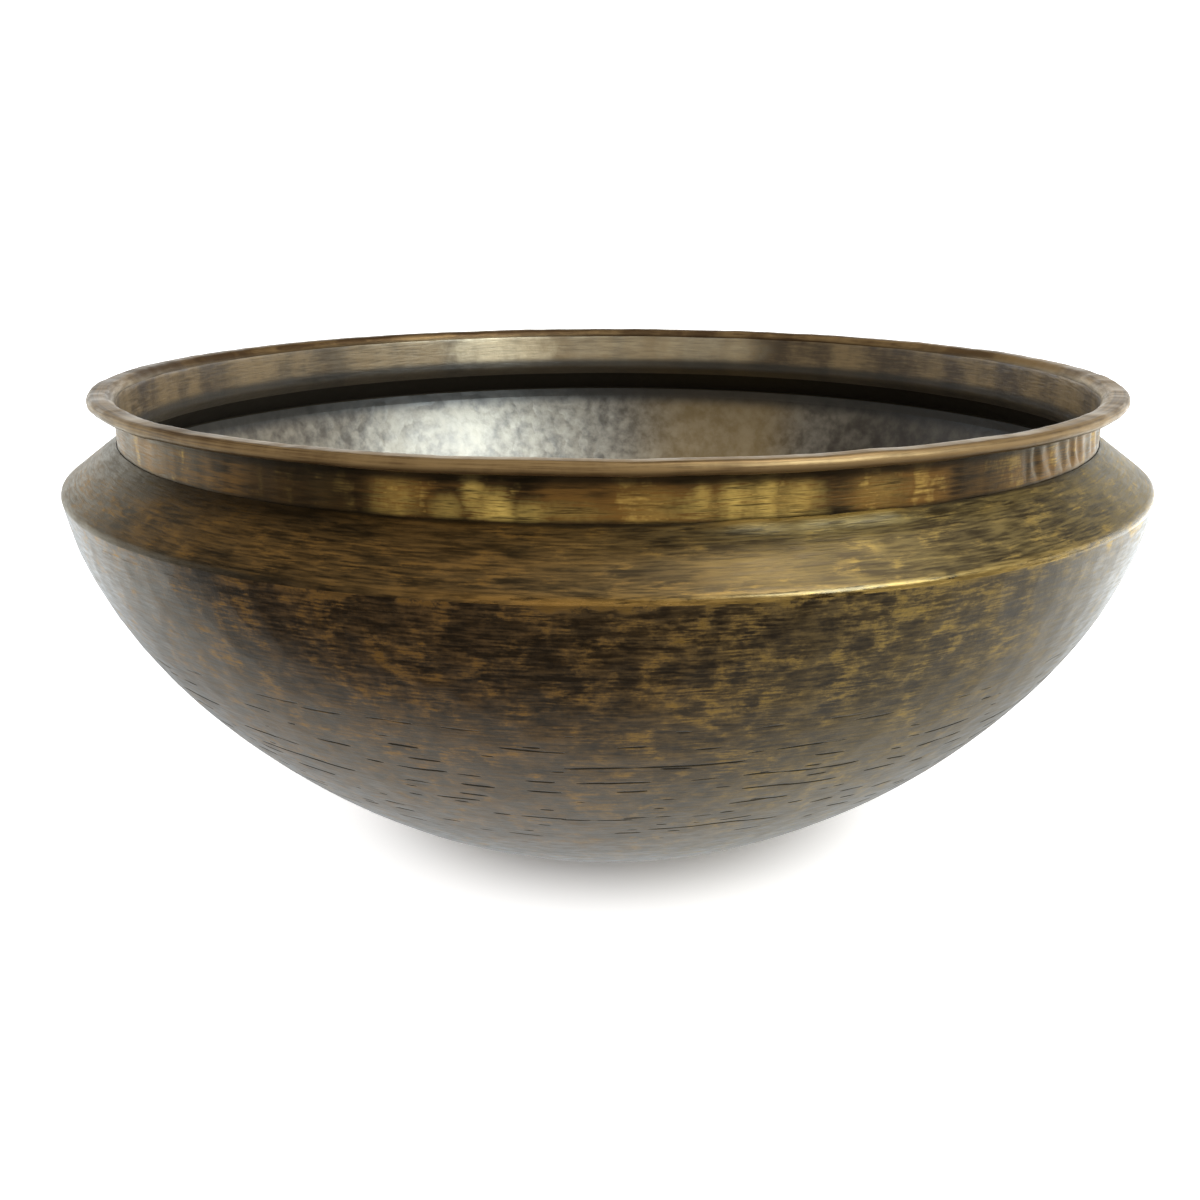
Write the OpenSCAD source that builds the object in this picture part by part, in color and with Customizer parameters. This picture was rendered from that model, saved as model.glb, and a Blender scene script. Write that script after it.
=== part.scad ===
// Hammered brass urli: a wide, round-bellied bowl built up from raised sheet.
// A dished lower bowl, a sloping shoulder and an upright neck collar are brazed together,
// and the collar's top edge is turned out and rolled back under itself round a wire.
// Origin: centre of the flat the bowl rests on. +Z runs up through the mouth.

/* [Body] */
// Widest diameter, across the waist
waist_d = 510; // [480:2:540]
// Height of the waist above the flat
waist_z = 179.5; // [170:0.5:190]
// Diameter of the flat the bowl rests on
base_d = 160; // [140:2:180]
// Angle at which the belly leaves the flat
base_angle = 16; // [10:0.5:18]
// Lean of the belly just under the waist, from upright
waist_lean = 9.2; // [6:0.1:12]
// Sheet thickness of every shell
sheet = 1.4; // [1.2:0.1:1.6]

/* [Shoulder] */
// Outside radius of the turn at the waist
waist_round = 3; // [2.5:0.1:4]
// Fall of the shoulder from the neck to the waist
shoulder_slope = 36.5; // [32:0.5:40]
// Length of the scarfed lap between shoulder and bowl
waist_lap = 5; // [4:0.5:6]

/* [Neck and rim] */
// Outside diameter of the upright neck
neck_d = 460; // [450:1:468]
// Outside diameter of the rolled rim
rim_d = 481; // [479:0.5:485]
// Height of the top of the rim above the flat
rim_top = 221.5; // [219:0.5:225]
// Thickness of the rolled rim, over the wire
rim_bead = 5; // [4.8:0.1:5.6]
// Inside radius of the turn from the neck into the rim
rim_turn = 4; // [3.5:0.1:4.5]
// How far the neck's foot runs out under the shoulder
foot_length = 7; // [5:0.5:9]
// Radius of the turn at the foot, on the side that shows inside
foot_turn = 3.4; // [2.5:0.1:4]
// Direction of the neck's closing seam, in degrees from +X
seam_angle = -20; // [-90:5:90]

/* [Joints] */
// Thickness of the brazing metal in the lap joints
braze_film = 0.3; // [0.2:0.05:0.4]
// Gap round the neck in the mouth of the shoulder
neck_gap = 0.4; // [0.3:0.05:0.6]
// Gap between the two ends of the neck strip
seam_gap = 0.6; // [0.5:0.1:1]

/* [Hidden] */

// Every shell is turned about the axis; the exact solid is round at any $fn.
$fn = 180;
belly_steps = 28;
turn_steps = 7;

brass = "darkgoldenrod";
spelter = "khaki";
iron = "dimgray";

waist_r = waist_d / 2;
base_r = base_d / 2;
neck_r = neck_d / 2;
rim_r = rim_d / 2;
seam_lip = 0.5;
lip_sheet = 0.7;
ledge = seam_lip + braze_film;
seam_groove = 0.8;
hem_gap = 0.9;
wire_play = 0.02;
slot_length = 30;

// Points are [radius, height].
function polar(centre, radius, angle) = centre + radius * [cos(angle), sin(angle)];
function turn(centre, radius, from, to, steps = turn_steps) =
    [for (i = [0:steps]) polar(centre, radius, from + (to - from) * i / steps)];
function bezier(p, t) =
    pow(1 - t, 3) * p[0] + 3 * pow(1 - t, 2) * t * p[1] + 3 * (1 - t) * t * t * p[2] + pow(t, 3) * p[3];
function bezier_run(p, t) =
    3 * pow(1 - t, 2) * (p[1] - p[0]) + 6 * (1 - t) * t * (p[2] - p[1]) + 3 * t * t * (p[3] - p[2]);
// Unit vector into the bowl from a curve that climbs outwards.
function inward(run) = [-run[1], run[0]] / norm(run);

// Waist: a round turn between the belly and the shoulder slope.
turn_centre = [waist_r - waist_round, waist_z];
slope_normal_angle = 90 - shoulder_slope;
slope_normal = [cos(slope_normal_angle), sin(slope_normal_angle)];
slope_run = [cos(shoulder_slope), -sin(shoulder_slope)];
slope_top = polar(turn_centre, waist_round, slope_normal_angle);
// Height of a line parallel to the shoulder slope, a given depth below its outer face.
function slope_z(radius, depth) =
    let (p = slope_top - depth * slope_normal)
    p[1] + (p[0] - radius) * tan(shoulder_slope);

// Waist lap, in its own frame: climb along the belly from the seam, depth in from the outer face.
lap_up = [sin(waist_lean), cos(waist_lean)];
lap_in = [-cos(waist_lean), sin(waist_lean)];
lap_top = polar(turn_centre, waist_round, -waist_lean);
function lap(climb, depth) = lap_top + (climb - waist_lap) * lap_up + depth * lap_in;
lap_spread = 0.1 * waist_lap;

// Belly: a soft corner off the flat, then one long curve up to the waist seam.
// The handles set how full the curve is low down and high up.
corner_reach = 7.2;
low_handle = 71.8;
high_handle = 79.1;
base_run = [cos(base_angle), sin(base_angle)];
corner = [base_r, 0];
belly_start = corner + corner_reach * base_run;
belly = [
    belly_start,
    corner + low_handle * base_run,
    lap(0, 0) - high_handle * lap_up,
    lap(0, 0)
];
corner_curve = [
    for (i = [0:turn_steps])
        let (t = i / turn_steps)
        pow(1 - t, 2) * (corner - [corner_reach, 0]) + 2 * t * (1 - t) * corner + t * t * belly_start
];
belly_outside = [for (i = [1:belly_steps]) bezier(belly, i / belly_steps)];
belly_inside = [
    for (i = [belly_steps:-1:0])
        bezier(belly, i / belly_steps) + sheet * inward(bezier_run(belly, i / belly_steps))
];

// Rolled rim: the neck turns out over the wire and its edge is laid back underneath.
wire_hole_r = rim_bead / 2 - sheet;
wire_centre = [rim_r - rim_bead / 2, rim_top - rim_bead / 2];
rim_turn_centre = [neck_r + rim_turn, rim_top - sheet - rim_turn];
hem_edge = neck_r + hem_gap;

// Foot of the neck: it runs out under the shoulder, one film of braze below it.
foot_top_depth = sheet + braze_film;
foot_corner = [neck_r, slope_z(neck_r, foot_top_depth)];
foot_tip = foot_corner + foot_length * slope_run;
wall_r = neck_r - sheet;
// Centre of the turn that is tangent to the neck's inner wall and to the foot's underside.
foot_turn_centre = [
    wall_r + foot_turn,
    slope_z(wall_r + foot_turn, foot_top_depth + sheet) + foot_turn / cos(shoulder_slope)
];

module lathe(points) {
    rotate_extrude() polygon(points);
}

// Thin upright slot through the neck where the strip's two ends meet.
module seam_slot(bottom, top) {
    rotate([0, 0, seam_angle])
        translate([neck_r - slot_length / 2, -seam_gap / 2, bottom])
            cube([slot_length, seam_gap, top - bottom]);
}

module lower_bowl() {
    color(brass)
        lathe(concat(
            [[0, 0]], corner_curve, belly_outside,
            [lap(0, ledge), lap(waist_lap, ledge + lap_spread),
             lap(waist_lap, ledge + lap_spread + lip_sheet), lap(0, ledge + lip_sheet)],
            belly_inside,
            [[base_r - corner_reach, sheet], [0, sheet]]));
}

module shoulder() {
    color(brass)
        lathe(concat(
            [[neck_r + neck_gap, slope_z(neck_r + neck_gap, sheet)],
             [neck_r + neck_gap, slope_z(neck_r + neck_gap, 0)]],
            turn(turn_centre, waist_round, slope_normal_angle, -waist_lean),
            [lap(0, 0), lap(0, seam_lip), lap(waist_lap, seam_lip + lap_spread)],
            turn(turn_centre, waist_round - sheet, -waist_lean, slope_normal_angle)));
}

module neck_section() {
    polygon(concat(
        [foot_corner, foot_tip, foot_tip - sheet * slope_normal],
        turn(foot_turn_centre, foot_turn, 270 - shoulder_slope, 180),
        turn(rim_turn_centre, rim_turn + sheet, 180, 90),
        turn(wire_centre, rim_bead / 2, 90, -90, 2 * turn_steps),
        [[hem_edge, wire_centre[1] - rim_bead / 2], [hem_edge, wire_centre[1] - wire_hole_r]],
        turn(wire_centre, wire_hole_r, -90, 90, 2 * turn_steps),
        turn(rim_turn_centre, rim_turn, 90, 180)));
}

module neck_collar() {
    color(brass)
        difference() {
            rotate_extrude() neck_section();
            seam_slot(0, rim_top + 1);
        }
}

module rim_wire() {
    color(iron)
        difference() {
            rotate_extrude() translate(wire_centre) circle(r = wire_hole_r - wire_play, $fn = 24);
            seam_slot(0, rim_top + 1);
        }
}

module waist_braze() {
    color(spelter)
        lathe(concat(
            [lap(0, seam_lip), lap(0, ledge), lap(waist_lap, ledge + lap_spread),
             lap(waist_lap, ledge + lap_spread + lip_sheet)],
            turn(turn_centre, waist_round - sheet, 15, -waist_lean, 4),
            [lap(waist_lap, seam_lip + lap_spread)]));
}

module neck_braze() {
    mouth = neck_r + neck_gap;
    fillet = foot_tip + braze_film * slope_normal;
    color(spelter)
        lathe([
            foot_corner,
            [neck_r, slope_z(mouth, 0) - seam_groove],
            [mouth, slope_z(mouth, 0) - seam_groove],
            [mouth, slope_z(mouth, sheet)],
            fillet + sheet * slope_run,
            foot_tip - sheet * slope_normal,
            foot_tip
        ]);
}

module collar_seam_braze() {
    color(spelter)
        intersection() {
            rotate_extrude() neck_section();
            seam_slot(0, rim_top + 1);
        }
}

lower_bowl();
shoulder();
neck_collar();
rim_wire();
waist_braze();
neck_braze();
collar_seam_braze();
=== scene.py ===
"""Looks of a hammered brass urli, built piece by piece over its fixed frame.

The shells are drawn as sections, spun about the bowl's axis and then hammered: the same
patterns move the metal and colour it. Everything is in metres, with +Z up through the mouth.
"""

import math

import bpy
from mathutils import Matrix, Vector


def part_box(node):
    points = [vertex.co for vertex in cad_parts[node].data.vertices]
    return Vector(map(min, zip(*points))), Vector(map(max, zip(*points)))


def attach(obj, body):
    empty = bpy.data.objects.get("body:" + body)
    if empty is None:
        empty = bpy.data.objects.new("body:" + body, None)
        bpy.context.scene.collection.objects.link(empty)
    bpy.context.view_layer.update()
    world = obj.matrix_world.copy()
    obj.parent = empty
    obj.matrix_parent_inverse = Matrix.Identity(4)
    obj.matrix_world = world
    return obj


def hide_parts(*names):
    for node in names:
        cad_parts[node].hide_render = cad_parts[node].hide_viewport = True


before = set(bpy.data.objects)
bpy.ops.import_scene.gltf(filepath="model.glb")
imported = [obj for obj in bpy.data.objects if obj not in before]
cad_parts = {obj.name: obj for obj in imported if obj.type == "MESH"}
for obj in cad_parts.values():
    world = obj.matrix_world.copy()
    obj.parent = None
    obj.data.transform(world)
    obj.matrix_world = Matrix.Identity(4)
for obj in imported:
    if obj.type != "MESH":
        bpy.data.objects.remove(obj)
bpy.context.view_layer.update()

bl_info = {
    "name": "Hammered Urli",
    "version": (1, 0, 0),
    "blender": (4, 5, 0),
    "location": "3D View > Sidebar > Urli",
    "description": "Builds a hammered brass urli bowl and its studio",
    "category": "Add Mesh",
}

WAIST_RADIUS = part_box("shoulder")[1][0]
BOWL_SEAM_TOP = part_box("lower_bowl")[1][2]
RIM_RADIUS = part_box("neck_collar")[1][0]
RIM_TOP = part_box("neck_collar")[1][2]

MM = 0.001
DEG = math.pi / 180


# ---------------------------------------------------------------- sizes and colours


class UrliSizes(bpy.types.PropertyGroup):
    """Sizes of the sheet and of the marks in it."""

    sheet: bpy.props.FloatProperty(
        name="Sheet",
        description="Thickness of the brass sheet",
        default=1.4 * MM,
        unit="LENGTH",
    )
    facet: bpy.props.FloatProperty(
        name="Facet",
        description="Usual width of one hammer mark on the belly",
        default=11.5 * MM,
        unit="LENGTH",
    )
    facet_depth: bpy.props.FloatProperty(
        name="Facet depth",
        description="How far a hammer mark sinks below the ridges round it",
        default=0.32 * MM,
        unit="LENGTH",
    )
    wander: bpy.props.FloatProperty(
        name="Wander",
        description="How far the shells stray from truly round",
        default=0.9 * MM,
        unit="LENGTH",
    )
    crimp_pitch: bpy.props.FloatProperty(
        name="Crimp pitch",
        description="Distance between the upright crimps beside the neck's closing seam",
        default=10.4 * MM,
        unit="LENGTH",
    )
    floor: bpy.props.FloatProperty(
        name="Floor",
        description="Side of the square floor",
        default=14.0,
        unit="LENGTH",
    )


def colour_prop(name, description, default):
    """A colour the maker can change."""
    return bpy.props.FloatVectorProperty(
        name=name,
        description=description,
        subtype="COLOR",
        size=3,
        min=0.0,
        max=1.0,
        default=default,
    )


class UrliColours(bpy.types.PropertyGroup):
    """Colours of the brass, its patina and the studio."""

    soot: colour_prop("Soot", "Darkest patina in the hammer marks", (0.011, 0.0055, 0.0016))
    # Olive and honey, lighter and yellower round to the right, are partly the metal's own tone and partly
    # painted light from the window's side.
    olive: colour_prop("Olive", "Yellower patina round to the right", (0.066, 0.042, 0.010))
    honey: colour_prop("Honey", "Yellower worn brass round to the right", (0.46, 0.30, 0.075))
    umber: colour_prop("Umber", "Brown patina between the marks", (0.056, 0.027, 0.006))
    gold: colour_prop("Gold", "Brass worn bare on the ridges", (0.34, 0.170, 0.036))
    # Straw also colours the painted highlights among the neck's bright patches.
    straw: colour_prop("Straw", "Freshly brushed brass", (0.80, 0.55, 0.13))
    bronze: colour_prop("Bronze", "Brushed brass of the neck", (0.17, 0.078, 0.012))
    rim_skin: colour_prop("Rim skin", "Handled metal of the rim", (0.195, 0.122, 0.050))
    pewter: colour_prop("Pewter", "Greyed brass inside the bowl", (0.37, 0.320, 0.235))
    wire: colour_prop("Wire", "Core wire in the rim", (0.16, 0.14, 0.13))
    solder: colour_prop("Brazing metal", "Metal that fills the joints", (0.055, 0.038, 0.016))
    floor: colour_prop("Floor", "Pale studio floor", (0.88, 0.88, 0.88))


def sizes():
    """The sizes in use."""
    return bpy.context.scene.urli_sizes


def colours():
    """The colours in use."""
    return bpy.context.scene.urli_colours


# ---------------------------------------------------------------- node expressions


class Term:
    """One socket that adds the Math nodes it needs when it is used in a sum."""

    def __init__(self, bench, socket):
        self.bench = bench
        self.socket = socket

    def is_vector(self):
        return self.socket.type == "VECTOR"

    def __add__(self, other):
        return self.bench.sum("ADD", self, other)

    def __radd__(self, other):
        return self.bench.sum("ADD", other, self)

    def __sub__(self, other):
        return self.bench.sum("SUBTRACT", self, other)

    def __rsub__(self, other):
        return self.bench.sum("SUBTRACT", other, self)

    def __mul__(self, other):
        return self.bench.sum("MULTIPLY", self, other)

    def __rmul__(self, other):
        return self.bench.sum("MULTIPLY", other, self)

    def __truediv__(self, other):
        return self.bench.sum("DIVIDE", self, other)

    def __neg__(self):
        return self.bench.sum("MULTIPLY", self, -1.0)


class Bench:
    """Adds nodes to one tree, of a material or of a Geometry Nodes modifier."""

    def __init__(self, tree):
        self.tree = tree

    def feed(self, socket, value):
        """Links a term to a socket, or sets the socket's own value."""
        if isinstance(value, Term):
            self.tree.links.new(value.socket, socket)
        elif socket.type == "RGBA" and len(value) == 3:
            socket.default_value = (*value, 1.0)
        else:
            socket.default_value = value

    def node(self, kind, settings=None, inputs=None):
        """Adds a node, makes its settings, then fills its sockets by name, identifier or place."""
        made = self.tree.nodes.new(kind)
        for name, value in (settings or {}).items():
            setattr(made, name, value)
        for key, value in (inputs or {}).items():
            if isinstance(key, int):
                self.feed(made.inputs[key], value)
            else:
                match = [s for s in made.inputs if key in (s.identifier, s.name)]
                self.feed(match[0], value)
        return made

    def term(self, made, key=0):
        """An output of a node as a term."""
        if isinstance(key, int):
            return Term(self, made.outputs[key])
        return Term(self, [s for s in made.outputs if key in (s.identifier, s.name)][0])

    def math(self, operation, *values, clamp=False):
        """A Math node."""
        settings = {"operation": operation, "use_clamp": clamp}
        return self.term(self.node("ShaderNodeMath", settings, dict(enumerate(values))))

    def sum(self, operation, a, b):
        """A Math node for numbers, or a Vector Math node where a vector takes part."""
        vectors = [isinstance(v, Term) and v.is_vector() for v in (a, b)]
        if not any(vectors):
            return self.math(operation, a, b)
        if all(vectors):
            settings = {"operation": operation}
            return self.term(self.node("ShaderNodeVectorMath", settings, {0: a, 1: b}))
        vector, number = (a, b) if vectors[0] else (b, a)
        settings = {"operation": "SCALE"}
        return self.term(self.node("ShaderNodeVectorMath", settings, {0: vector, "Scale": number}))

    def vector(self, x, y, z):
        """Three numbers as a vector."""
        return self.term(self.node("ShaderNodeCombineXYZ", {}, {0: x, 1: y, 2: z}))

    def split(self, vector):
        """A vector's three numbers."""
        made = self.node("ShaderNodeSeparateXYZ", {}, {0: vector})
        return [self.term(made, i) for i in range(3)]

    def step(self, value, low, high, to_low=0.0, to_high=1.0):
        """A smooth step that goes from one number to another as a value goes from low to high."""
        settings = {"interpolation_type": "SMOOTHSTEP", "clamp": True}
        inputs = {
            "Value": value,
            "From Min": low,
            "From Max": high,
            "To Min": to_low,
            "To Max": to_high,
        }
        return self.term(self.node("ShaderNodeMapRange", settings, inputs))

    def window(self, value, low, high, soft):
        """One between two limits and nothing outside them, with soft edges."""
        rise = self.step(value, low - soft, low + soft)
        fall = self.step(value, high - soft, high + soft)
        return rise * (1 - fall)

    def noise(self, place, scale, detail=2.0, rough=0.5, warp=0.0):
        """Cloudy noise between 0 and 1."""
        inputs = {
            "Vector": place,
            "Scale": scale,
            "Detail": detail,
            "Roughness": rough,
            "Distortion": warp,
        }
        return self.term(self.node("ShaderNodeTexNoise", {}, inputs), 0)

    def cells(self, place, scale):
        """Distance from the middle of the nearest cell in a field of cells."""
        inputs = {"Vector": place, "Scale": scale, "Randomness": 1.0}
        return self.term(self.node("ShaderNodeTexVoronoi", {"feature": "F1"}, inputs), 0)

    def dot(self, a, b):
        """How far two directions agree."""
        made = self.node("ShaderNodeVectorMath", {"operation": "DOT_PRODUCT"}, {0: a, 1: b})
        return self.term(made, "Value")

    def blend(self, amount, a, b):
        """A colour between two colours."""
        settings = {"data_type": "RGBA", "clamp_factor": True}
        inputs = {"Factor_Float": amount, "A_Color": a, "B_Color": b}
        return self.term(self.node("ShaderNodeMix", settings, inputs), "Result_Color")

    def largest(self, a, b):
        """The larger of two numbers."""
        return self.math("MAXIMUM", a, b)

    def smallest(self, a, b):
        """The smaller of two numbers."""
        return self.math("MINIMUM", a, b)


class Place:
    """Where a point lies on the bowl, measured the ways a metalworker would."""

    def __init__(self, bench, point):
        self.bench = bench
        self.point = point
        x, y, z = bench.split(point)
        self.x = x
        self.y = y
        self.z = z
        self.radius = bench.largest(bench.math("SQRT", x * x + y * y), 0.0005)
        self.across = x / self.radius
        self.along = y / self.radius
        # Turn is measured from the front of the bowl towards its right, in radians.
        self.turn = bench.math("ARCTAN2", x, -y)

    def round_point(self, girth, height, stretch):
        """A point on a drum of a given radius, so a pattern has no seam and keeps its size."""
        return self.bench.vector(self.across * girth, self.along * girth, height * stretch)


# ---------------------------------------------------------------- patterns in the metal


def wander(b, at):
    """How far the shells stray outwards at a place, the same for every piece there."""
    drum = at.round_point(0.25, at.z, 0.6)
    slow = b.noise(drum, 7.0, detail=1.0) - 0.5
    quick = b.noise(drum, 26.0, detail=0.0) - 0.5
    foot = b.step(at.radius, 0.07, 0.13)
    return (slow * 2.0 + quick * 0.7) * foot


def lift(b, at):
    """How far the rim rises and falls, as a part of the greatest rise."""
    drum = at.round_point(0.25, at.z, 0.0)
    height = b.step(at.z, RIM_TOP - 0.014, RIM_TOP - 0.004)
    return (b.noise(drum, 24.0, detail=1.0) - 0.5) * 2.0 * height


def to_right(b, at, start, full):
    """Rises from nothing to one over a turn in degrees, and is gone again at the back."""
    return b.step(at.turn, start * DEG, full * DEG) * b.step(at.turn, 178 * DEG, 120 * DEG)


def mouth_bay(b, at):
    """The stretch at the front right where the shoulder's mouth stands off the neck."""
    stray = b.noise(at.round_point(0.25, at.z, 0.0), 60.0, detail=1.0)
    return b.window(at.turn, 9.0 * DEG, 26.5 * DEG, 2.5 * DEG) * b.step(stray, 0.30, 0.62, 0.45, 1.0)


def mouth_edge(b, at, wide):
    """One at the shoulder's mouth and nothing beyond a width from it."""
    mouth = Sections.neck_radius + Sections.neck_gap
    return b.step(at.radius, mouth + wide, mouth + wide * 0.15)


def planish(b, at, size):
    """Hammer marks: distance from the middle of each blow."""
    shake = b.node("ShaderNodeTexNoise", {}, {"Vector": at.point, "Scale": 1.5 / size, "Detail": 1.0})
    shake = b.term(shake, "Color") - b.vector(0.5, 0.5, 0.5)
    spot = at.point + shake * (size * 0.85)
    return b.cells(spot, 1.0 / size)


def dash_rows(b, at):
    """Rows of thin level dashes low on the belly, one where a dash is deepest."""
    total = None
    for pitch, offset, run, bar in ((8.3 * MM, 0.0, 34.0, 0.53), (6.1 * MM, 0.37, 52.0, 0.58)):
        sway = b.noise(at.round_point(0.25, offset, 1.0), 12.0, detail=1.0) - 0.5
        height = (at.z + sway * 0.008) / pitch + offset
        row = b.math("FLOOR", height)
        off = b.math("ABSOLUTE", height - row - 0.5) * pitch
        drum = b.vector(at.across * 0.25, at.along * 0.25, row * 0.173 + offset)
        length = b.noise(drum, run, detail=1.0, rough=0.6)
        taper = b.step(length - bar, 0.0, 0.08)
        thick = taper * 0.35 * MM + 0.25 * MM
        marks = b.step(off, thick, thick * 0.3) * b.step(length - bar, 0.0, 0.02)
        total = marks if total is None else b.largest(total, marks)
    return total * b.window(at.z, 0.060, 0.130, 0.008)


def crescents(b, blow, ragged, where):
    """Broken rings round the blows, where the crowded metal stood up and wore bare."""
    ring = blow + (ragged - 0.5) * 0.80
    return b.step(ring, 0.20, 0.54) * b.step(ring, 0.88, 0.54) * where


def flecks(b, drum, scratch):
    """Fine flecks drawn out level, between 0 and 1, where a cloth has rubbed the metal bare."""
    streak = b.noise(drum, 150.0, detail=4.0, rough=0.72)
    return b.step(streak + (scratch - 0.5) * 0.20, 0.36, 0.76)


def spot(b, at, angle, stray, place):
    """A ragged patch, from its turn in degrees, height, half width and half height in metres."""
    turn, height, half_width, half_height = place
    aside = (angle - turn * DEG) * (at.radius / half_width)
    above = (at.z - height) / half_height
    return b.step(aside * aside + above * above + stray, 2.4, -0.6)


def spots(b, at, angle, stray, places):
    """The brightest of several ragged patches."""
    foot = RIM_TOP - 22.5 * MM
    bright = None
    for turn, height, half_width, half_height, strength in places:
        place = (turn, foot + height * MM, half_width * 1.4 * MM, half_height * 1.4 * MM)
        patch = spot(b, at, angle, stray, place) * strength
        bright = patch if bright is None else b.largest(bright, patch)
    return bright


def crimps(b, at):
    """Upright lens-shaped dents beside the neck's closing seam."""
    pitch = sizes().crimp_pitch
    lean = (at.z - RIM_TOP) * 0.45
    arc = at.turn * 0.23 + lean
    shake = b.noise(at.round_point(0.23, at.z, 0.3), 55.0, detail=0.0) - 0.5
    count = (arc + shake * 0.012) / pitch
    cell = b.math("ABSOLUTE", b.math("FRACT", count) - 0.5) * 2.0
    patch = b.window(at.turn, 42 * DEG, 68 * DEG, 1.5 * DEG)
    middle = RIM_TOP - 0.0140
    rise = (at.z - middle) / 0.0078
    lens = b.largest(1.0 - rise * rise, 0.0)
    own = b.noise(b.vector(b.math("FLOOR", count), 0.0, 0.0), 0.73, detail=0.0)
    own = b.step(own, 0.30, 0.70, 0.35, 1.0)
    dent = b.step(lens * 1.05 - cell, -0.15, 1.0) * b.step(lens, 0.0, 0.3) * own
    return dent * patch


# ---------------------------------------------------------------- sections


def polar(centre, radius, degrees):
    """A point on a circle, as (radius, height)."""
    angle = degrees * DEG
    return (centre[0] + radius * math.cos(angle), centre[1] + radius * math.sin(angle))


def turned(centre, radius, start, end, steps):
    """Points round part of a circle."""
    return [polar(centre, radius, start + (end - start) * i / steps) for i in range(steps + 1)]


def curve(p, t):
    """A point on a cubic curve with four control points."""
    weights = ((1 - t) ** 3, 3 * (1 - t) ** 2 * t, 3 * (1 - t) * t * t, t**3)
    return tuple(sum(w * q[i] for w, q in zip(weights, p)) for i in range(2))


def curve_run(p, t):
    """The direction of a cubic curve."""
    weights = (3 * (1 - t) ** 2, 6 * (1 - t) * t, 3 * t * t)
    steps = [(b[0] - a[0], b[1] - a[1]) for a, b in zip(p, p[1:])]
    return tuple(sum(w * s[i] for w, s in zip(weights, steps)) for i in range(2))


def spaced(points, gap):
    """The same line with its long straights cut into steps no longer than a gap."""
    line = [points[0]]
    for a, b in zip(points, points[1:]):
        cuts = max(1, math.ceil(math.dist(a, b) / gap - 1e-6))
        for i in range(1, cuts + 1):
            line.append((a[0] + (b[0] - a[0]) * i / cuts, a[1] + (b[1] - a[1]) * i / cuts))
    return line


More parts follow.
